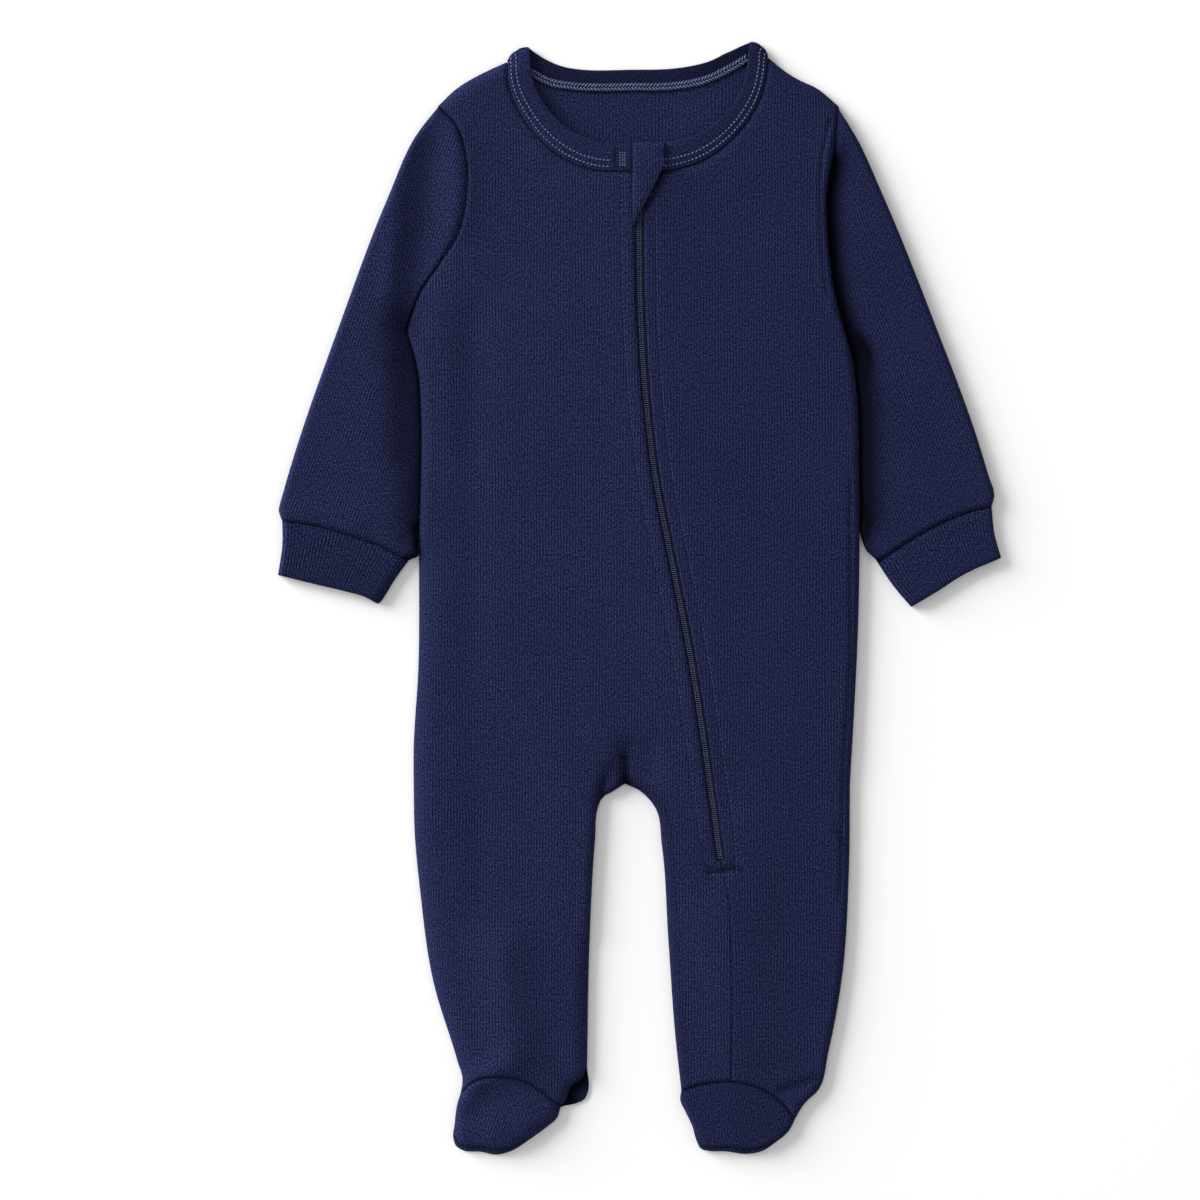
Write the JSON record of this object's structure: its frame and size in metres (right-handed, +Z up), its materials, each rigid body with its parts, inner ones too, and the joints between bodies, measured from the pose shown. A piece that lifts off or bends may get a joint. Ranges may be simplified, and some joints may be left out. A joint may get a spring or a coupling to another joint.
{
  "type": "onesie pajama",
  "caption": "Footed baby onesie pajama in plain navy rib knit, long-sleeved, with a slanting front zip, laid out flat on its back.",
  "frame": {"origin": "on the floor under the middle of the outline of the garment laid out on its back", "axes": "+X to the wearer's left, +Y to the neck, +Z up from the floor through the front"},
  "size_m": [0.3902, 0.6005, 0.01],
  "materials": {
    "rib_knit": "matte brushed cotton rib",
    "cuff_rib": "matte one by one rib",
    "chain_stitch": "matte thread",
    "zip_cloth": "matte woven",
    "zip_nylon": "satin nylon coil",
    "slider_enamel": "satin enamel"
  },
  "bodies": {
    "root": {"back": "rib_knit", "front_right": "rib_knit", "front_left": "rib_knit", "sleeve_right": "rib_knit", "sleeve_left": "rib_knit", "cuff_right": "cuff_rib", "cuff_left": "cuff_rib", "toe_cap_right": "rib_knit", "toe_cap_left": "rib_knit", "sole_right": "rib_knit", "sole_left": "rib_knit", "neckband": "rib_knit", "neck_tape": "chain_stitch", "zip_tape": "zip_cloth", "zip_coil": "zip_nylon", "zip_slider": "slider_enamel", "zip_guard": "rib_knit"}
  },
  "joints": []
}
